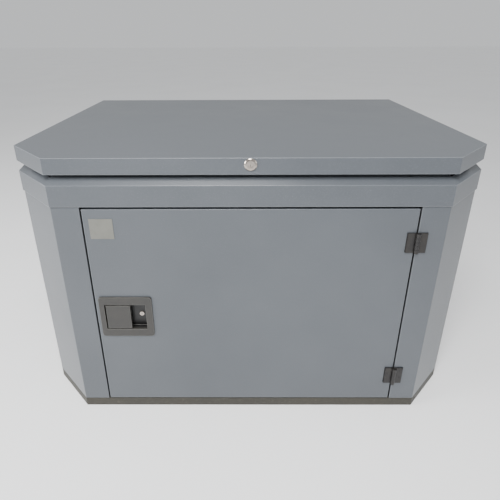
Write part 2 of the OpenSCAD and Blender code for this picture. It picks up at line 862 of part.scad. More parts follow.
module spark_plug() color("white")
    translate([head_half, crank_y, head_z + 20])
        rotate([0, 90, 0])
            rotate_extrude()
                polygon([[0, 0], [9, 0], [9, 8], [6, 10], [6, 22], [11, 22], [11, 44], [8, 48], [0, 48]]);

// Filter box with the gas mixer and its inlet neck
module air_cleaner() color(engine_black) {
    rod_y(0, head_z + 20, cleaner_y - eps, crank_y - head_half, 20);
    rod_y(0, head_z + 20, crank_y - head_half - 8, crank_y - head_half, 32);
    span([-70, cleaner_y - 90, head_z - 30], [95, cleaner_y, head_z + 75]);
    span([-76, cleaner_y - 96, head_z + 40], [101, cleaner_y + 4, head_z + 48]);
}

// Drum, header pipe from the head and the outlet boss
module muffler() color("#6c6864") {
    rod_x(muffler_end_x, -70, muffler_y, muffler_z, muffler_r);
    for (x = [muffler_end_x - 3, -73])
        rod_x(x, x + 6, muffler_y, muffler_z, muffler_r + 3);
    rod_x(-70, 16, muffler_y, muffler_z, 16.4);
    rod_y(0, muffler_z, crank_y + head_half, muffler_y, 16);
    rod_y(0, muffler_z, crank_y + head_half, crank_y + head_half + 6, 28);
    rod_y(tail_x, muffler_z, muffler_y, boss_y, tail_r + 4);
    rod_y(tail_x, muffler_z, boss_y - 5, boss_y, tail_r + 12);
}

module oil_dipstick() color("#c9a227")
    translate([40, crank_y - case_w / 2, deck_z + 60])
        rotate([50, 0, 0])
            translate([0, 0, 30]) {
                cylinder(h = 12, r = 15);
                translate([-3, -14, 12 - eps])
                    cube([6, 28, 12]);
            }

// Shroud of the cooling fan, bolted to the crankcase
module blower_housing() color(engine_black) {
    r = fan_r + 14;
    difference() {
        rod_x(case_half, case_half + 84, crank_y, crank_z, r);
        rod_x(case_half + 3, case_half + 81, crank_y, crank_z, r - 3);
        rod_x(case_half - 1, case_half + 4, crank_y, crank_z, shaft_r + 20);
        for (i = [0 : 3])
            rotate_about_crank(i * 45)
                span([case_half + 80, crank_y - r + 26, crank_z - 5],
                    [case_half + 85, crank_y - 24, crank_z + 5]);
        for (i = [0 : 3])
            rotate_about_crank(i * 45)
                span([case_half + 80, crank_y + 24, crank_z - 5],
                    [case_half + 85, crank_y + r - 26, crank_z + 5]);
    }
}

module rotate_about_crank(angle) {
    translate([0, crank_y, crank_z])
        rotate([angle, 0, 0])
            translate([0, -crank_y, -crank_z])
                children();
}

module stator() color("#8c5a3c")
    difference() {
        rod_x(alternator_end_x + 40, -120, crank_y, crank_z, alternator_r - 5);
        rod_x(alternator_end_x + 39, -119, crank_y, crank_z, alternator_r - 35);
    }

// Barrel round the stator, closed by a flange on the crankcase side
module alternator_housing() color(cast_alloy)
    difference() {
        union() {
            rod_x(alternator_end_x, -case_half - 8, crank_y, crank_z, alternator_r);
            span([-280, crank_y - rail_gap - 18, deck_z], [-220, crank_y + rail_gap + 18, deck_z + 16]);
        }
        rod_x(alternator_end_x - 1, -case_half - 16, crank_y, crank_z, alternator_r - 5);
        rod_x(-case_half - 20, -case_half, crank_y, crank_z, shaft_r + 20);
        for (i = [0 : 11])
            if (abs(i * 30 + 15 - 180) > 50)
                rotate_about_crank(i * 30 + 15)
                span([alternator_end_x + 8, crank_y - 9, crank_z + alternator_r - 12],
                    [alternator_end_x + 30, crank_y + 9, crank_z + alternator_r + 5]);
    }

module alternator_end_bell() color(cast_alloy)
    difference() {
        union() {
            rod_x(alternator_end_x - 8, alternator_end_x, crank_y, crank_z, alternator_r);
            rod_x(alternator_end_x - 24, alternator_end_x + 14, crank_y, crank_z, 34);
        }
        rod_x(alternator_end_x - 18, alternator_end_x + 20, crank_y, crank_z, shaft_r + run_fit);
        for (i = [0 : 7])
            rotate_about_crank(i * 45)
                span([alternator_end_x - 10, crank_y - 11, crank_z + 48],
                    [alternator_end_x + 1, crank_y + 11, crank_z + alternator_r - 22]);
    }

// One shaft through the engine, the fan and the alternator
module crankshaft() color(zinc)
    rod_x(alternator_end_x - 16, case_half + 62, crank_y, crank_z, shaft_r);

module flywheel_fan() color(cast_alloy) {
    disc_x = case_half + 20;
    difference() {
        union() {
            rod_x(disc_x, disc_x + 8, crank_y, crank_z, fan_r);
            rod_x(disc_x - 6, disc_x + 34, crank_y, crank_z, 30);
            for (i = [0 : 13])
                rotate_about_crank(i * 360 / 14)
                    span([disc_x, crank_y - 2, crank_z + 60], [disc_x + 36, crank_y + 2, crank_z + fan_r - 4]);
        }
        rod_x(disc_x - 10, disc_x + 40, crank_y, crank_z, shaft_r);
    }
}

// Rotor stack of four poles
module rotor_core() color("#70757a")
    difference() {
        rod_x(alternator_end_x + 45, -125, crank_y, crank_z, alternator_r - 37);
        rod_x(alternator_end_x + 44, -124, crank_y, crank_z, shaft_r);
        for (i = [0 : 3])
            rotate_about_crank(i * 90)
                span([alternator_end_x + 44, crank_y - 9, crank_z + 50],
                    [-124, crank_y + 9, crank_z + alternator_r]);
    }

// ---------- battery and controls ----------

module battery() color(engine_black) {
    span([battery_x - battery_w / 2, battery_y - battery_d / 2, floor_z],
        [battery_x + battery_w / 2, battery_y + battery_d / 2, floor_z + battery_h]);
    span([battery_x - battery_w / 2 + 6, battery_y - battery_d / 2 + 6, floor_z + battery_h - eps],
        [battery_x + battery_w / 2 - 6, battery_y + battery_d / 2 - 6, floor_z + battery_h + 6]);
    for (i = [-1, 1])
        translate([battery_x + i * (battery_w / 2 - 28), battery_y + 20, floor_z + battery_h])
            cylinder(h = 22, r = 8);
}

// Two leads from the battery posts to the engine block
module battery_leads() color(rubber_black) {
    top = floor_z + battery_h + 22 + foam_gap;
    for (i = [-1, 1]) {
        start = [battery_x + i * (battery_w / 2 - 28), battery_y + 20, top];
        finish = [-40 + i * 16, crank_y - case_w / 2 - foam_gap, crank_z + 50];
        sweep([start, start + [0, 0, 22], start + [40, 50, 45 - i * 10],
            finish + [-20, -70, 10], finish + [0, -28, 0], finish], 5, [0.9, -0.3, 0.1], 8, 5);
    }
}

// Two uprights with feet that carry the control box
module control_stand() color(zinc)
    for (x = [panel_x - panel_w / 2 + 20, panel_x + panel_w / 2 - 20]) {
        span([x - 15, panel_y + 50, floor_z], [x + 15, panel_y + 53, panel_z - panel_h / 2]);
        span([x - 15, panel_y + 20, floor_z], [x + 15, panel_y + 90, floor_z + 3]);
        span([x - 15, panel_y + 20, panel_z - panel_h / 2 - 3],
            [x + 15, panel_y + 90, panel_z - panel_h / 2]);
    }

module control_box() color(paint)
    difference() {
        span([panel_x - panel_w / 2, panel_y, panel_z - panel_h / 2],
            [panel_x + panel_w / 2, panel_y + 110, panel_z + panel_h / 2]);
        span([panel_x - panel_w / 2 + sheet, panel_y - 1, panel_z - panel_h / 2 + sheet],
            [panel_x + panel_w / 2 - sheet, panel_y + 110 - sheet, panel_z + panel_h / 2 - sheet]);
    }

// Front plate with the display window, the breaker body and the bores of the controls
module control_panel() color(engine_black)
    difference() {
        union() {
            span([panel_x - panel_w / 2, panel_y - panel_t, panel_z - panel_h / 2],
                [panel_x + panel_w / 2, panel_y, panel_z + panel_h / 2]);
            span([breaker_x - 16, panel_y - 12, control_z - 26],
                [breaker_x + 16, panel_y + 8, control_z + 26]);
            span([panel_x - 90, panel_y - panel_t - 3, stop_z - 5],
                [panel_x - 10, panel_y - panel_t + eps, stop_z + 50]);
        }
        span([panel_x - 84, panel_y - panel_t - 4, stop_z + 1],
            [panel_x - 16, panel_y - panel_t - 1, stop_z + 44]);
        rod_y(knob_x, control_z, panel_y - 20, panel_y + 20, 4 + run_fit);
        rod_y(breaker_x, stop_z, panel_y - 20, panel_y + 20, 8 + run_fit);
        span([breaker_x - 8.5, panel_y - 13, control_z - 16], [breaker_x + 8.5, panel_y + 5, control_z + 16]);
        rod_x(breaker_x - 11, breaker_x + 11, panel_y - 4, control_z, 2 + run_fit);
    }

module mode_knob() color("#2a2a2a") {
    rod_y(knob_x, control_z, panel_y - panel_t - 1, panel_y + 12, 4);
    rod_y(knob_x, control_z, panel_y - panel_t - 8, panel_y - panel_t - 1, 20);
    span([knob_x - 5, panel_y - panel_t - 22, control_z - 19],
        [knob_x + 5, panel_y - panel_t - 8 + eps, control_z + 19]);
}

module breaker_toggle() color("#2a2a2a") {
    rod_x(breaker_x - 8, breaker_x + 8, panel_y - 4, control_z, 6);
    rod_x(breaker_x - 10.5, breaker_x + 10.5, panel_y - 4, control_z, 2);
    translate([breaker_x, panel_y - 4, control_z])
        rotate([-20, 0, 0])
            span([-5, -28, -3], [5, 0, 3]);
}

module stop_button() color("#a8201a") {
    rod_y(breaker_x, stop_z, panel_y - panel_t - 12, panel_y + 14, 8);
    translate([breaker_x, panel_y - panel_t - 12, stop_z])
        rotate([90, 0, 0])
            rotate_extrude()
                polygon([[0, 0], [18, 0], [20, 3], [20, 7], [15, 11], [0, 12]]);
}

plinth();
base_pan();
left_corner_post();
right_corner_post();
left_side_panel();
right_side_panel();
back_panel();
collar();
lid_seal();
door_seal();
wall_foam();
inlet_louvre();
outlet_louvre();
panel_screws();
lid_hinge_body_leaves();
door_hinge_body_leaves();
hinge_pins();
cable_gland();
gas_inlet();
gas_regulator();
gas_hose();
exhaust_tailpipe();
cradle();
av_mounts();
crankcase();
engine_cylinder();
cylinder_head();
spark_plug();
air_cleaner();
muffler();
oil_dipstick();
blower_housing();
stator();
alternator_housing();
alternator_end_bell();
crankshaft();
flywheel_fan();
rotor_core();
battery();
battery_leads();
control_stand();
control_box();
control_panel();
mode_knob();
breaker_toggle();
stop_button();
lid_shell();
lid_foam();
lid_hinge_lid_leaves();
lid_lock_bezel();
lid_lock_plug();
lid_stay_rod();
door_skin();
door_foam();
door_hinge_door_leaves();
latch_housing();
latch_paddle();
latch_key_plug();
latch_bolt();
nameplate();
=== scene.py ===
# %% [markdown]
# # A home standby generator in its acoustic enclosure
#
# The enclosure is folded steel sheet with a powder coat, and the generator set stands inside it.
# The solid model already fixes every size, fit and hinge. This lesson adds what the eye
# reads: soft fold radii, paint, plating, rubber, cast alloy and profiled acoustic foam. The
# order is camera, finishes, rounded edges, foam, the black strip round the door, and last the
# floor and lights.

# %% Load the frame
import bmesh
import bpy
import json
import math
from mathutils import Matrix, Vector


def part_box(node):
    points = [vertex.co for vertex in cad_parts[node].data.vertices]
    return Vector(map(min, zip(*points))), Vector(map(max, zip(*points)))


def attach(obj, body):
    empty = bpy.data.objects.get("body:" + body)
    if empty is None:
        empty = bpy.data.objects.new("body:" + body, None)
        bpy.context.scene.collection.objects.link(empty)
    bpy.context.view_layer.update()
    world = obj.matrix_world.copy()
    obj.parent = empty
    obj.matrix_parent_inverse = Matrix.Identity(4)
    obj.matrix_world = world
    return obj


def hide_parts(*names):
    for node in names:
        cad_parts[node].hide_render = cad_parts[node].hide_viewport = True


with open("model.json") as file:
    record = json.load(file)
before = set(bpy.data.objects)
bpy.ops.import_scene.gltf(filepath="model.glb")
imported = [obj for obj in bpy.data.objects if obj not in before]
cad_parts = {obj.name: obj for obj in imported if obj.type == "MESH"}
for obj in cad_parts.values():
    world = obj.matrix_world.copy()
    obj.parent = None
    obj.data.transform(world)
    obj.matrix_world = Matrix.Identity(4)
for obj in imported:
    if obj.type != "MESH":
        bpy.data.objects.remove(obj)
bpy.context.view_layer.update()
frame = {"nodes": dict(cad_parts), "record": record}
nodes = frame["nodes"]
MM = 0.001

# %% [markdown]
# ## Camera
#
# The camera stands a little under a metre in front of the door and a metre above the floor, and
# looks down at the lid. A close, fairly wide lens makes the lid spread wider than the plinth, so
# its distance and height matter more than its aim. A small lens shift centres the enclosure.

# %% Place the camera
CAMERA_PLACE = Vector((-0.0231, -1.3436, 1.0241))
CAMERA_TURN = -0.0063
CAMERA_TILT = 0.3901
CAMERA_ROLL = -0.0043
SENSOR = 36.0
LENS = 29.89
LENS_SHIFT = (0.0237, -0.0948)

ahead = Vector((math.sin(CAMERA_TURN) * math.cos(CAMERA_TILT),
                math.cos(CAMERA_TURN) * math.cos(CAMERA_TILT),
                -math.sin(CAMERA_TILT)))
level = Vector((math.cos(CAMERA_TURN), -math.sin(CAMERA_TURN), 0.0))
upright = level.cross(ahead)
right = math.cos(CAMERA_ROLL) * level + math.sin(CAMERA_ROLL) * upright
up = math.cos(CAMERA_ROLL) * upright - math.sin(CAMERA_ROLL) * level

camera_data = bpy.data.cameras.new("camera")
camera_data.sensor_width = SENSOR
camera_data.lens = LENS
camera_data.shift_x, camera_data.shift_y = LENS_SHIFT
camera = bpy.data.objects.new("camera", camera_data)
bpy.context.scene.collection.objects.link(camera)
axes = Matrix((right, up, -ahead)).transposed()
camera.matrix_world = Matrix.Translation(CAMERA_PLACE) @ axes.to_4x4()
bpy.context.scene.camera = camera
print("camera: lens", LENS, "mm, tilt", round(math.degrees(CAMERA_TILT), 1), "degrees")

# %% [markdown]
# ## Small helpers for materials
#
# Paint charts and screens give colours as sRGB hex values, but a shader mixes light, so one
# function turns them to linear. One more function adds a node, sets what is fixed and links
# what varies. Everything else is built from these two.

# %% Colour and node helpers
def linear(code):
    """An sRGB hex colour as linear red, green, blue and alpha."""
    parts = [int(code[i:i + 2], 16) / 255 for i in (1, 3, 5)]
    return [c / 12.92 if c <= 0.04045 else ((c + 0.055) / 1.055) ** 2.4 for c in parts] + [1.0]


def add(tree, kind, inputs=None, **settings):
    """Adds a node; inputs are values to set or sockets to link, settings are its options."""
    made = tree.nodes.new(kind)
    for name, value in settings.items():
        setattr(made, name, value)
    for name, value in (inputs or {}).items():
        socket = made.inputs[name]
        if isinstance(value, bpy.types.NodeSocket):
            tree.links.new(value, socket)
        else:
            socket.default_value = value
    return made


def per_metre(size_mm):
    """The texture scale that makes one feature this many millimetres across."""
    return 1.0 / (size_mm * MM)


print("mid grey", [round(c, 3) for c in linear("#808080")[:3]])

# %% [markdown]
# ## One finish, many surfaces
#
# Every real surface here varies in three ways: its tone drifts slowly over centimetres or
# decimetres, its gloss drifts with it, and a fine relief breaks up the reflections. Paint,
# casting skin, rubber and brushed metal differ only in those sizes and depths. One function
# builds that pattern, and each material below states its own numbers and why. Where the real
# grain is too fine to show, as on ground steel, brass and the plate, it is drawn about half a
# millimetre wide.
#
# Some finishes add a layer of another colour. Specks are powder grains that stand proud. Painted
# shade makes a recess dark beyond a certain Y, where little light would get in. Along a fold a
# paler colour is painted in as a highlight, where the rounded strip would catch the light. For
# that last one the Bevel node gives a normal as if the edge were rounded. Where it turns away
# from the flat face's own normal there is an edge, and their dot product says how near it is.

# %% The finish function
NOISE_SPAN = (0.3, 0.7)        # most of a noise lies between these two
SPECK_SPAN = (0.56, 0.72)      # only its peaks, which gives separate grains
GLOSS_DRIFT = (-0.04, 0.05)    # how far roughness wanders below and above its middle
# The next two shape the painted highlight, a paler colour laid along folds.
FOLD_HIGHLIGHT_SPAN = (0.995, 0.93)      # dot product where a fold starts to show and is at its palest
FOLD_HIGHLIGHT_SHARE = 0.75              # how much of the pale colour the palest line takes
BEVEL_SAMPLES = 8


def finish(name, dark, light, tone_mm, rough, relief_mm, relief_depth_mm, metallic=0.0,
           stretch=(1, 1, 1), coat=0.0, specks=None, recess_shade=None, fold=None):
    """A two-tone surface with drifting gloss and a fine relief; stretch makes brushed lines.
    specks is a colour, a size in mm and a share. recess_shade is painted shade: a colour that
    takes over further back than one Y, given with that Y and the depth in mm over which it does.
    fold is a highlight colour and a radius in mm: edges shade as if rounded, and that colour is
    painted on them."""
    made = bpy.data.materials.new(name)
    made.use_nodes = True
    tree = made.node_tree
    tree.nodes.clear()
    place = add(tree, "ShaderNodeTexCoord").outputs["Object"]
    drawn = add(tree, "ShaderNodeMapping", {"Vector": place, "Scale": stretch}).outputs["Vector"]
    drift = add(tree, "ShaderNodeTexNoise", {"Vector": place, "Scale": per_metre(tone_mm),
                                             "Detail": 4.0, "Roughness": 0.55})
    tone = add(tree, "ShaderNodeMapRange", {"Value": drift.outputs["Fac"],
                                            "From Min": NOISE_SPAN[0],
                                            "From Max": NOISE_SPAN[1]})
    gloss = add(tree, "ShaderNodeMapRange", {"Value": drift.outputs["Fac"],
                                             "From Min": NOISE_SPAN[0],
                                             "From Max": NOISE_SPAN[1],
                                             "To Min": rough + GLOSS_DRIFT[0],
                                             "To Max": rough + GLOSS_DRIFT[1]})
    grain = add(tree, "ShaderNodeTexNoise", {"Vector": drawn, "Scale": per_metre(relief_mm),
                                             "Detail": 3.0, "Roughness": 0.5})
    relief = add(tree, "ShaderNodeBump", {"Height": grain.outputs["Fac"], "Strength": 1.0,
                                          "Distance": relief_depth_mm * MM})
    layers = [(tone, linear(dark), light)]
    if specks:
        colour, size_mm, share = specks
        grains = add(tree, "ShaderNodeTexNoise", {"Vector": place, "Scale": per_metre(size_mm),
                                                  "Detail": 2.0})
        lift = add(tree, "ShaderNodeMapRange", {"Value": grains.outputs["Fac"],
                                                "From Min": SPECK_SPAN[0],
                                                "From Max": SPECK_SPAN[1], "To Max": share})
        layers.append((lift, None, colour))
    # Painted shade: the colour goes dark further back than one Y, where little light gets in.
    if recess_shade:
        colour, start, depth_mm = recess_shade
        back = add(tree, "ShaderNodeSeparateXYZ", {"Vector": place}).outputs["Y"]
        recess_shade_mask = add(tree, "ShaderNodeMapRange", {"Value": back, "From Min": start,
                                                  "From Max": start + depth_mm * MM})
        layers.append((recess_shade_mask, None, colour))
    # A painted highlight: a paler colour mixed in near edges, found from the Bevel normal, which
    # also rounds the shading.
    if fold:
        colour, radius_mm = fold
        rounded = add(tree, "ShaderNodeBevel", {"Radius": radius_mm * MM}, samples=BEVEL_SAMPLES)
        flat = add(tree, "ShaderNodeNewGeometry")
        turn = add(tree, "ShaderNodeVectorMath", {0: rounded.outputs["Normal"],
                                                  1: flat.outputs["Normal"]},
                   operation="DOT_PRODUCT")
        edge = add(tree, "ShaderNodeMapRange", {"Value": turn.outputs["Value"],
                                                "From Min": FOLD_HIGHLIGHT_SPAN[0],
                                                "From Max": FOLD_HIGHLIGHT_SPAN[1],
                                                "To Max": FOLD_HIGHLIGHT_SHARE})
        layers.append((edge, None, colour))
        tree.links.new(rounded.outputs["Normal"], relief.inputs["Normal"])
    shade = None
    for share, under, over in layers:
        mixed = add(tree, "ShaderNodeMix", {"Factor": share.outputs["Result"],
                                            "A": under or shade, "B": linear(over)},
                    data_type="RGBA")
        shade = mixed.outputs["Result"]
    skin = add(tree, "ShaderNodeBsdfPrincipled",
               {"Base Color": shade, "Metallic": metallic, "Roughness": gloss.outputs["Result"],
                "Coat Weight": coat, "Normal": relief.outputs["Normal"]})
    out = add(tree, "ShaderNodeOutputMaterial")
    tree.links.new(skin.outputs["BSDF"], out.inputs["Surface"])
    return made


print("finish function ready, bevel samples:", BEVEL_SAMPLES)

# %% [markdown]
# ## Painted and plated steel
#
# The enclosure is zinc-coated steel with a baked polyester powder coat. The powder melts and
# levels without flowing right out, so it keeps an orange-peel ripple one or two millimetres
# across and a few hundredths of a millimetre high. It is satin, with a paler painted highlight
# along every fold.
# The plinth and pan have a flat olive-brown primer that gathers dust.
#
# The latch is the same kind of coat in a darker grey. Its dish behind the flange gets painted
# shade: little light gets in there, so the colour is painted nearly black from a few
# millimetres behind the flange.

# %% Steel finishes
# The latch dish's painted shade starts 6 mm behind the flange's front and is full dark 7 mm
# further back.
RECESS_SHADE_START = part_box("latch_housing")[0][1] + 6 * MM
RECESS_SHADE_FADE_MM = 7
steel = {
    # sprayed and baked: satin, orange peel, pinhead specks, a paler painted highlight on its
    # folds
    "powder_coat": finish("polyester_powder_coat", "#494d52", "#51555a", 420, 0.33, 1.8, 0.03,
                          specks=("#696d73", 2.4, 0.3), fold=("#85898e", 2.4)),
    # a matt primer with no top coat: flat, with pale dust in clumps
    "plinth_paint": finish("olive_primer", "#28261f", "#333028", 160, 0.6, 1.5, 0.06,
                           specks=("#5d594f", 3.5, 0.4)),
    # electroplated and weathered: a dark metal with soft reflections
    "zinc": finish("dull_zinc_plate", "#2b2a2b", "#363432", 22, 0.3, 1.2, 0.02, metallic=0.6),
    # a finer powder: dark, paler at its edges with a painted highlight, painted shade in the dish
    "latch_grey": finish("grey_textured_powder_coat", "#262523", "#2f2d2a", 30, 0.38, 0.9, 0.03,
                         recess_shade=("#050505", RECESS_SHADE_START, RECESS_SHADE_FADE_MM),
                         fold=("#6f6e69", 1.6)),
    # dipped: black and semi-gloss
    "engine_black": finish("black_chassis_paint", "#1b1d1f", "#292b2e", 90, 0.42, 1.5, 0.04),
    # drawn tube, tinted brown by heat, with lines along it
    "exhaust_steel": finish("heat_tinted_stainless", "#6b5f55", "#8b8078", 60, 0.36, 1.0, 0.02,
                            metallic=1.0, stretch=(0.2, 1, 1)),
    # a stack of stamped sheets under copper-brown varnish, with lines across the shaft
    "lamination": finish("varnished_laminations", "#6a4632", "#8c6248", 12, 0.45, 0.8, 0.08,
                         metallic=0.6, stretch=(4, 0.3, 0.3)),
    # turned and ground: bright, with rings round the shaft
    "shaft_steel": finish("ground_steel", "#a9aaac", "#c2c3c4", 25, 0.22, 0.6, 0.01,
                          metallic=1.0, stretch=(6, 0.4, 0.4)),
}
print("steel finishes:", len(steel))

# %% [markdown]
# ## Castings, chrome, brass and plastics
#
# Pressure die castings keep a dull, slightly mottled skin. The lock cylinders are polished
# zinc under bright chrome, so they mirror the room and show almost no grain. Mouldings take a
# fine spark-eroded texture from their tool, and rubber has the softest, widest highlight.

# %% Other hard finishes
hard = {
    # cast under pressure and left as it came: pale, dull and mottled
    "cast_alloy": finish("pressure_die_cast_aluminium", "#8d8f90", "#a9abac", 18, 0.46, 1.4,
                         0.08, metallic=0.9),
    # plated over polish: a warm mirror
    "chrome": finish("bright_chrome_plate", "#a39a92", "#b8b0a8", 9, 0.16, 2.0, 0.006,
                     metallic=1.0),
    # turned from bar: yellow, with fine rings
    "brass": finish("machined_brass", "#b08d42", "#cbaa5c", 12, 0.28, 0.5, 0.01, metallic=1.0,
                    stretch=(0.3, 3, 0.3)),
    # brushed sideways, then anodised: a soft pale grey with no shine of its own
    "nameplate": finish("blank_anodised_plate", "#686862", "#72726b", 30, 0.45, 0.5, 0.012,
                        metallic=0.25, stretch=(0.15, 1, 3)),
    # extruded: black, with a wide weak highlight
    "rubber": finish("extruded_epdm_rubber", "#171717", "#242424", 22, 0.68, 0.9, 0.05),
    # fired glaze: white and wet-looking
    "ceramic": finish("glazed_alumina", "#dedcd4", "#eeece6", 8, 0.2, 2.0, 0.01, coat=0.4),
    # the four mouldings: even colour, fine texture from the tool
    "battery_case": finish("moulded_polypropylene", "#18191b", "#232427", 35, 0.5, 0.8, 0.04),
    "black_plastic": finish("moulded_abs", "#1d1d1e", "#29292a", 10, 0.45, 0.6, 0.03),
    "yellow_plastic": finish("moulded_yellow_nylon", "#c08a12", "#d9a423", 7, 0.4, 0.7, 0.03),
    "red_plastic": finish("moulded_red_abs", "#97170f", "#b3231a", 9, 0.35, 0.7, 0.02),
}
print("other hard finishes:", len(hard))

# %% [markdown]
# ## Acoustic foam
#
# The lining is open-cell polyurethane, charcoal grey. Its cells are half a millimetre wide;
# they are drawn a little coarser here so that they still show. It has no gloss at all, so its
# roughness is nearly one, and its profile does the rest.

# %% Foam finish
foam_finish = finish("open_cell_polyurethane_foam", "#26272a", "#3a3b3f", 25, 0.93, 1.1, 0.5)
finishes = {**steel, **hard, "foam": foam_finish}
print("finishes:", len(finishes))

# %% [markdown]
# ## Which piece gets which finish
#
# The solid model's record gives every node a material slot. Looking the finish up by that slot
# keeps the two in step, and no node can be forgotten.

# %% Give every node its finish
slot_of = {part["node"]: part["material_slot"] for part in frame["record"]["subparts"]}
for name, thing in nodes.items():
    thing.data.materials.clear()
    thing.data.materials.append(finishes[slot_of[name]])
print("finished", len(slot_of), "nodes")

# %% [markdown]
# ## Fold radii
#
# Sheet steel is never folded to a knife edge. The outside radius is about the sheet's own
# thickness, and that rounded strip catches the bright line seen along every fold. The solid
# model has sharp edges, so a bevel modifier rounds them without touching the mesh: first the
# triangles of each flat face are joined, then only true corners are bevelled. On sheet 2 mm
# thick two bevels would meet, so the modifier stops at about 1 mm there. The powder coat's
# shading rounds the rest, and a paler colour painted along each fold is the highlight. Radii are
# in millimetres.

# %% Round the edges
FOLDED = {
    "lid_shell": 2.4, "collar": 1.8, "left_corner_post": 1.6, "right_corner_post": 1.6,
    "door_skin": 1.6, "left_side_panel": 0.7, "right_side_panel": 0.7, "back_panel": 0.7,
    "plinth": 1.2, "base_pan": 0.8, "control_box": 1.5, "control_panel": 0.8,
    "latch_housing": 1.8, "latch_paddle": 1.2, "door_hinge_body_leaves": 0.5,
    "door_hinge_door_leaves": 0.5, "lid_hinge_body_leaves": 0.5, "lid_hinge_lid_leaves": 0.5,
    "battery": 3.0, "air_cleaner": 4.0, "crankcase": 4.0, "cylinder_head": 1.0, "cradle": 2.0,
    "mode_knob": 1.5, "breaker_toggle": 0.8, "nameplate": 0.3, "latch_bolt": 0.8,
    "control_stand": 0.5, "gas_regulator": 2.0, "muffler": 1.5, "oil_dipstick": 1.0,
}
WELD_DISTANCE = 0.01 * MM
FLAT_WITHIN = math.radians(0.5)
CORNER_OVER = math.radians(35)


def round_edges(thing, radius_mm):
    """Joins flat triangles, then bevels the real corners and evens the shading."""
    weld = thing.modifiers.new("weld", "WELD")
    weld.merge_threshold = WELD_DISTANCE
    flat = thing.modifiers.new("join_flats", "DECIMATE")
    flat.decimate_type = "DISSOLVE"
    flat.angle_limit = FLAT_WITHIN
    bevel = thing.modifiers.new("fold_radius", "BEVEL")
    bevel.width = radius_mm * MM
    bevel.segments = 3
    bevel.limit_method = "ANGLE"
    bevel.angle_limit = CORNER_OVER
    bevel.use_clamp_overlap = True
    even = thing.modifiers.new("even_shading", "WEIGHTED_NORMAL")
    even.keep_sharp = False


for name, radius in FOLDED.items():
    round_edges(nodes[name], radius)
print("rounded", len(FOLDED), "nodes")

# %% [markdown]
# ## Profiled foam
#
# Acoustic foam is cut as egg crate: two blocks come apart from one wavy knife cut. The
# peaks and hollows repeat about every 50 mm. A grid of points lifted by two crossed waves
# gives that surface directly, and the slab's back stays flat where it is glued to the steel.

# %% Clean a slab's mesh
DOUBLE_WITHIN = 0.02 * MM
SLIVER_WITHIN = 0.01 * MM
SHARP_OVER = math.radians(50)


def clean_foam(piece):
    """Merges doubled points, turns every face outwards and shades the piece smooth."""
    work = bmesh.new()
    work.from_mesh(piece.data)
    bmesh.ops.remove_doubles(work, verts=work.verts, dist=DOUBLE_WITHIN)
    bmesh.ops.dissolve_degenerate(work, edges=work.edges, dist=SLIVER_WITHIN)
    bmesh.ops.recalc_face_normals(work, faces=work.faces)
    work.to_mesh(piece.data)
    work.free()
    for face in piece.data.polygons:
        face.use_smooth = True
    piece.data.set_sharp_from_angle(angle=SHARP_OVER)


print("points closer than", DOUBLE_WITHIN / MM, "mm are merged")

# %% Egg-crate slab
WAVE = 50 * MM       # from peak to peak
STEP = 8 * MM        # spacing of the grid of points
PROFILE = 0.42       # share of the thickness that the waves take
FEWEST_STEPS = 4


def egg_crate(name, body, low, high, facing, limit=None):
    """A closed slab between two corners; facing is the axis and side its waves look at.
    limit(v) gives the half-width of the slab at v, for a slab with cut corners."""
    axis, side = facing
    u_axis, v_axis = [i for i in range(3) if i != axis]
    nu = max(FEWEST_STEPS, round((high[u_axis] - low[u_axis]) / STEP))
    nv = max(FEWEST_STEPS, round((high[v_axis] - low[v_axis]) / STEP))
    depth = high[axis] - low[axis]
    back = low[axis] if side > 0 else high[axis]
    points = []
    for j in range(nv + 1):
        v = low[v_axis] + (high[v_axis] - low[v_axis]) * j / nv
        for i in range(nu + 1):
            u = low[u_axis] + (high[u_axis] - low[u_axis]) * i / nu
            if limit:
                u = max(-limit(v), min(limit(v), u))
            wave = math.cos(2 * math.pi * u / WAVE) * math.cos(2 * math.pi * v / WAVE)
            rise = depth * (1 - PROFILE * (0.5 - 0.5 * wave))
            point = [0.0, 0.0, 0.0]
            point[u_axis], point[v_axis], point[axis] = u, v, back + side * rise
            points.append(point)
    row = nu + 1
    faces = [(j * row + i, j * row + i + 1, (j + 1) * row + i + 1, (j + 1) * row + i)
             for j in range(nv) for i in range(nu)]
    rim = ([i for i in range(nu)] + [j * row + nu for j in range(nv)]
           + [nv * row + i for i in range(nu, 0, -1)] + [j * row for j in range(nv, 0, -1)])
    first = len(points)
    for k in rim:
        point = list(points[k])
        point[axis] = back
        points.append(point)
    count = len(rim)
    faces += [(rim[k], first + k, first + (k + 1) % count, rim[(k + 1) % count])
              for k in range(count)]
    faces.append(tuple(first + k for k in range(count - 1, -1, -1)))
    mesh = bpy.data.meshes.new(name)
    mesh.from_pydata(points, [], faces)
    piece = bpy.data.objects.new(name, mesh)
    bpy.context.scene.collection.objects.link(piece)
    clean_foam(piece)
    piece.data.materials.append(finishes["foam"])
    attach(piece, body)
    return piece


print("wave", WAVE / MM, "mm, grid step", STEP / MM, "mm")

# %% [markdown]
# ## Foam under the lid
#
# The lid's lining is one slab whose two front corners are cut at 45 degrees, as the lid's are.
# Each row of points is narrowed to fit, which keeps the waves in step over the whole slab.

# %% Foam on the lid
CORNER_CUT = 0.096
low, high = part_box("lid_foam")
corner_start = low[1] + CORNER_CUT


def lid_half_width(y):
    """Half of the lid foam's width, less where its front corners are cut."""
    return high[0] - max(0.0, corner_start - y)


lid_pad = egg_crate("lid_foam_pad", "lid", low, high, (2, -1), lid_half_width)
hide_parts("lid_foam")
print("lid foam", len(lid_pad.data.vertices), "points")

# %% [markdown]
# ## Foam on the door and the walls
#
# These slabs have windows for the latch, the louvres and the pipes. A fitter cuts them from
# strips laid round each window, and so does this cell: it takes a big rectangle and a window,
# and lays strips under, over and on both sides of it.

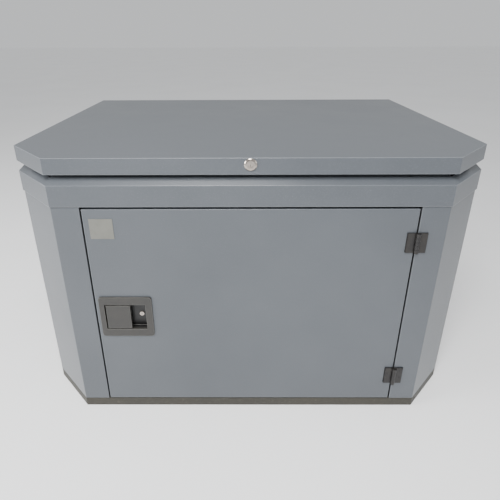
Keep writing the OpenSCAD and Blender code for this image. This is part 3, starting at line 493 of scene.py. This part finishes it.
# %% Strips round a window
def strips(u_range, v_range, window):
    """The rectangles left of, right of, under and over a window in a bigger rectangle."""
    (u0, u1), (v0, v1) = u_range, v_range
    a0, a1, b0, b1 = window
    parts = [((u0, a0), (v0, v1)), ((a1, u1), (v0, v1)), ((a0, a1), (v0, b0)),
             ((a0, a1), (b1, v1))]
    return [p for p in parts if p[0][1] - p[0][0] > STEP and p[1][1] - p[1][0] > STEP]


def line_wall(base, body, node_box, facing, window):
    """Lays foam strips over one wall and returns the pieces."""
    low, high = node_box
    axis = facing[0]
    u_axis, v_axis = [i for i in range(3) if i != axis]
    made = []
    for k, (us, vs) in enumerate(strips((low[u_axis], high[u_axis]),
                                        (low[v_axis], high[v_axis]), window)):
        a, b = list(low), list(high)
        a[u_axis], b[u_axis] = us
        a[v_axis], b[v_axis] = vs
        made.append(egg_crate(f"{base}_{k}", body, a, b, facing))
    return made


# %% Line the door
LATCH_ROOM = 6 * MM
low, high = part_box("door_foam")
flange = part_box("latch_housing")
latch_window = (low[0] - LATCH_ROOM, flange[1][0] + LATCH_ROOM,
                flange[0][2] - LATCH_ROOM, flange[1][2] + LATCH_ROOM)
door_pads = line_wall("door_foam_pad", "door", (low, high), (1, 1), latch_window)
for pad in door_pads:
    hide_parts("door_foam")
print("door foam", len(door_pads), "strips")

# %% Line the side walls
THICK = 25 * MM            # of the foam sheet
JOINT = 2 * MM             # between the side slabs and the back ones
CUT_ROOM = 5 * MM          # round each cut-out in a wall
low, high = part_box("wall_foam")
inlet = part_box("inlet_louvre")
wall_pads = []
side_back = high[1] - THICK - JOINT
louvre_window = (inlet[0][1] - CUT_ROOM, inlet[1][1] + CUT_ROOM,
                 inlet[0][2] - CUT_ROOM, inlet[1][2] + CUT_ROOM)
right_wall = ([high[0] - THICK, low[1], low[2]], [high[0], side_back, high[2]])
left_wall = ([low[0], low[1], low[2]], [low[0] + THICK, side_back, high[2]])
wall_pads += line_wall("right_foam_pad", "enclosure", right_wall, (0, -1), louvre_window)
wall_pads += line_wall("left_foam_pad", "enclosure", left_wall, (0, 1), louvre_window)
print("side wall foam", len(wall_pads), "strips")

# %% Line the back wall
PIPE_BITE = 2 * MM         # the foam is pressed on to the pipe by this much
SPLIT_FROM_GAS = 55 * MM   # the wall's two slabs meet this far from the gas inlet
OVER_GAS = 60 * MM
BESIDE_GLAND = 30 * MM
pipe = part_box("exhaust_tailpipe")
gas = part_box("gas_inlet")
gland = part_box("cable_gland")
split_x = gas[0][0] - SPLIT_FROM_GAS
back_low = [low[0] + THICK + JOINT, high[1] - THICK, low[2]]
back_high = [high[0] - THICK - JOINT, high[1], high[2]]
pipe_window = (pipe[0][0] + PIPE_BITE, pipe[1][0] - PIPE_BITE,
               pipe[0][2] + PIPE_BITE, pipe[1][2] - PIPE_BITE)
service_window = (split_x, gland[1][0] + BESIDE_GLAND, low[2] - CUT_ROOM,
                  gas[1][2] + OVER_GAS)
wall_pads += line_wall("back_foam_pad", "enclosure", (back_low, [split_x] + back_high[1:]),
                       (1, -1), pipe_window)
wall_pads += line_wall("service_foam_pad", "enclosure", ([split_x] + back_low[1:], back_high),
                       (1, -1), service_window)
for pad in wall_pads:
    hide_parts("wall_foam")
print("wall foam", len(wall_pads), "strips")

# %% [markdown]
# ## Painted shade round the door
#
# A thin black strip lines the doorway behind the edge of the sheet: partly a rubber strip that
# stops the door from ringing against the posts, partly painted shade that makes the gap round the
# door read as a black line.

# %% Line the doorway with the black strip
# The strip is partly painted shade: a black sheet where the gap round the door would be in
# shadow.
SHADE_TRIM_THICK = 0.8 * MM            # thickness of the rubber
SIDE_GAP = 4.5 * MM        # between the door and each post
TOP_GAP = 7 * MM           # between the door and the collar
SHADE_TRIM_SETBACK = 2.5 * MM    # behind the outer face of the door, and before its inner one
BLOCK_SIDES = ((0, 1, 3, 2), (4, 6, 7, 5), (0, 4, 5, 1), (2, 3, 7, 6), (0, 2, 6, 4),
               (1, 5, 7, 3))


def blocks(name, body, slot, spans):
    """One piece made of plain blocks, each given by its lowest and highest corner."""
    points, faces = [], []
    for a, b in spans:
        start = len(points)
        points += [(x, y, z) for x in (a[0], b[0]) for y in (a[1], b[1]) for z in (a[2], b[2])]
        faces += [tuple(start + k for k in side) for side in BLOCK_SIDES]
    mesh = bpy.data.meshes.new(name)
    mesh.from_pydata(points, [], faces)
    piece = bpy.data.objects.new(name, mesh)
    bpy.context.scene.collection.objects.link(piece)
    piece.data.materials.append(finishes[slot])
    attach(piece, body)
    return piece


low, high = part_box("door_skin")
side, top = high[0] + SIDE_GAP, high[2] + TOP_GAP
near, far = low[1] + SHADE_TRIM_SETBACK, high[1] - SHADE_TRIM_SETBACK
shade_trim = blocks("doorway_shade_trim", "enclosure", "rubber", [
    ((-side, near, low[2]), (-side + SHADE_TRIM_THICK, far, top - SHADE_TRIM_THICK)),
    ((side - SHADE_TRIM_THICK, near, low[2]), (side, far, top - SHADE_TRIM_THICK)),
    ((-side, near, top - SHADE_TRIM_THICK), (side, far, top)),
])
print("doorway trim", len(shade_trim.data.vertices), "points")

# %% [markdown]
# ## Floor and light
#
# The enclosure stands on a pale floor under big soft lights, as in a studio. The strongest
# light is high in front: it lifts the shoulder under the lid and, with the painted fold
# highlight, draws the bright line along the lid's front fold. The left one lifts the left
# cut corner. The right one is weak, so the right cut corner stays a little darker. The sky is a
# plain pale grey that fills the shadows.

# %% Floor
FLOOR_REACH = 30.0
FLOOR_DROP = -0.0005       # half a millimetre down, so that it never fights with the plinth
floor_mesh = bpy.data.meshes.new("floor")
floor_mesh.from_pydata([(-FLOOR_REACH, -FLOOR_REACH, FLOOR_DROP),
                        (FLOOR_REACH, -FLOOR_REACH, FLOOR_DROP),
                        (FLOOR_REACH, FLOOR_REACH, FLOOR_DROP),
                        (-FLOOR_REACH, FLOOR_REACH, FLOOR_DROP)], [], [(0, 1, 2, 3)])
floor = bpy.data.objects.new("floor", floor_mesh)
bpy.context.scene.collection.objects.link(floor)
floor_mesh.materials.append(finish("pale_studio_floor", "#f6f6f6", "#fafafa", 900, 0.8, 40, 0.05))
print("floor", 2 * FLOOR_REACH, "m square")

# %% Lights
SKY_COLOUR = "#f4f6f8"
SKY_STRENGTH = 0.75
SOFT_LIGHTS = {            # where it stands, the point it faces, its side in m, its watts
    "high_front_box": ((-0.3, -1.9, 2.5), (0, -0.4, 0.6), 1.2, 120),
    "left_box": ((-3.0, -1.2, 1.3), (0, -0.2, 0.4), 1.4, 80),
    "right_box": ((3.0, -1.2, 1.4), (0, -0.2, 0.4), 1.4, 10),
}
world = bpy.data.worlds.new("studio")
bpy.context.scene.world = world
world.use_nodes = True
sky = world.node_tree.nodes["Background"]
sky.inputs["Color"].default_value = linear(SKY_COLOUR)
sky.inputs["Strength"].default_value = SKY_STRENGTH

for name, (place, aim, size, power) in SOFT_LIGHTS.items():
    lamp = bpy.data.lights.new(name, "AREA")
    lamp.shape = "SQUARE"
    lamp.size = size
    lamp.energy = power
    thing = bpy.data.objects.new(name, lamp)
    bpy.context.scene.collection.objects.link(thing)
    thing.location = place
    thing.rotation_euler = (Vector(aim) - Vector(place)).to_track_quat("-Z", "Y").to_euler()
print(len(SOFT_LIGHTS), "soft lights and a pale sky")
